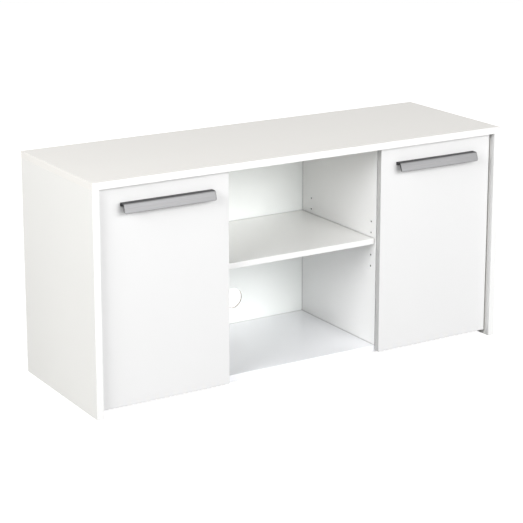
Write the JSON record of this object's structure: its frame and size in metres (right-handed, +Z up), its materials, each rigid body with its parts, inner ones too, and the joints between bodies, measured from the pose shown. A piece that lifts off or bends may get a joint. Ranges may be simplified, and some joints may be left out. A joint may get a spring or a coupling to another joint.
{
  "type": "aquarium stand cabinet",
  "caption": "Low white board cabinet for an aquarium, with an open centre bay, an adjustable shelf and a hinged door with a metal pull on each side.",
  "frame": {"origin": "on the floor, under the middle of the whole object's box, door handles included", "axes": "+X along the cabinet's width to the right as seen from the front, +Y from front to rear, +Z up"},
  "size_m": [1.2, 0.4087, 0.58],
  "materials": {
    "white_board": "white laminated particle board with edge banding, satin",
    "white_front": "white foil-wrapped door board, satin to gloss",
    "white_hardboard": "white lacquered hardboard",
    "brushed_metal": "aluminium extrusion, brushed lengthways, satin",
    "nickel_steel": "nickel-plated pressed steel",
    "zinc_steel": "bright zinc plating",
    "cam_zinc": "die-cast zinc, matt",
    "beech": "fluted beech dowel, raw",
    "white_plastic": "moulded plastic, fine texture",
    "ferrite": "ferrite magnet with steel pole plates",
    "clear_rubber": "soft translucent bumper"
  },
  "bodies": {
    "carcass": {"top_panel": "white_board", "bottom_panel": "white_board", "back_panel": "white_hardboard", "shelf_pins": "nickel_steel", "left_side_panel": "white_board", "left_partition": "white_board", "left_magnetic_catch": "white_plastic", "left_upper_hinge_arm": "nickel_steel", "left_lower_hinge_arm": "nickel_steel", "left_upper_mounting_plate": "nickel_steel", "left_lower_mounting_plate": "nickel_steel", "left_front_foot": "white_plastic", "left_rear_foot": "white_plastic", "left_plate_screws": "zinc_steel", "left_arm_screws": "zinc_steel", "right_side_panel": "white_board", "right_partition": "white_board", "right_magnetic_catch": "white_plastic", "right_upper_hinge_arm": "nickel_steel", "right_lower_hinge_arm": "nickel_steel", "right_upper_mounting_plate": "nickel_steel", "right_lower_mounting_plate": "nickel_steel", "right_front_foot": "white_plastic", "right_rear_foot": "white_plastic", "right_plate_screws": "zinc_steel", "right_arm_screws": "zinc_steel", "top_cam_discs": "cam_zinc", "top_cam_bolts": "zinc_steel", "bottom_cam_discs": "cam_zinc", "bottom_cam_bolts": "zinc_steel", "top_dowels": "beech", "bottom_dowels": "beech", "partition_screws": "zinc_steel", "back_panel_screws": "zinc_steel", "foot_screws": "zinc_steel", "catch_screws": "zinc_steel", "catch_magnets": "ferrite", "door_bumpers": "clear_rubber"},
    "left_door": {"left_door_leaf": "white_front", "left_handle": "brushed_metal", "left_strike_plate": "zinc_steel", "left_upper_hinge_cup": "nickel_steel", "left_lower_hinge_cup": "nickel_steel", "left_upper_hinge_pin": "nickel_steel", "left_lower_hinge_pin": "nickel_steel", "left_cup_screws": "zinc_steel", "left_handle_screws": "zinc_steel", "left_strike_screws": "zinc_steel"},
    "right_door": {"right_door_leaf": "white_front", "right_handle": "brushed_metal", "right_strike_plate": "zinc_steel", "right_upper_hinge_cup": "nickel_steel", "right_lower_hinge_cup": "nickel_steel", "right_upper_hinge_pin": "nickel_steel", "right_lower_hinge_pin": "nickel_steel", "right_cup_screws": "zinc_steel", "right_handle_screws": "zinc_steel", "right_strike_screws": "zinc_steel"},
    "shelf": {"centre_shelf": "white_board"}
  },
  "joints": [
    {"name": "left_door_hinge", "type": "hinge", "parent": "carcass", "child": "left_door", "pos_m": [-0.566, -0.171, 0.287], "axis": [0, 0, -1], "range_deg": [0, 100]},
    {"name": "right_door_hinge", "type": "hinge", "parent": "carcass", "child": "right_door", "pos_m": [0.566, -0.171, 0.287], "axis": [0, 0, 1], "range_deg": [0, 100]},
    {"name": "shelf_slide", "type": "slide", "parent": "carcass", "child": "shelf", "axis": [0, -1, 0], "range_m": [0, 0.34]}
  ]
}
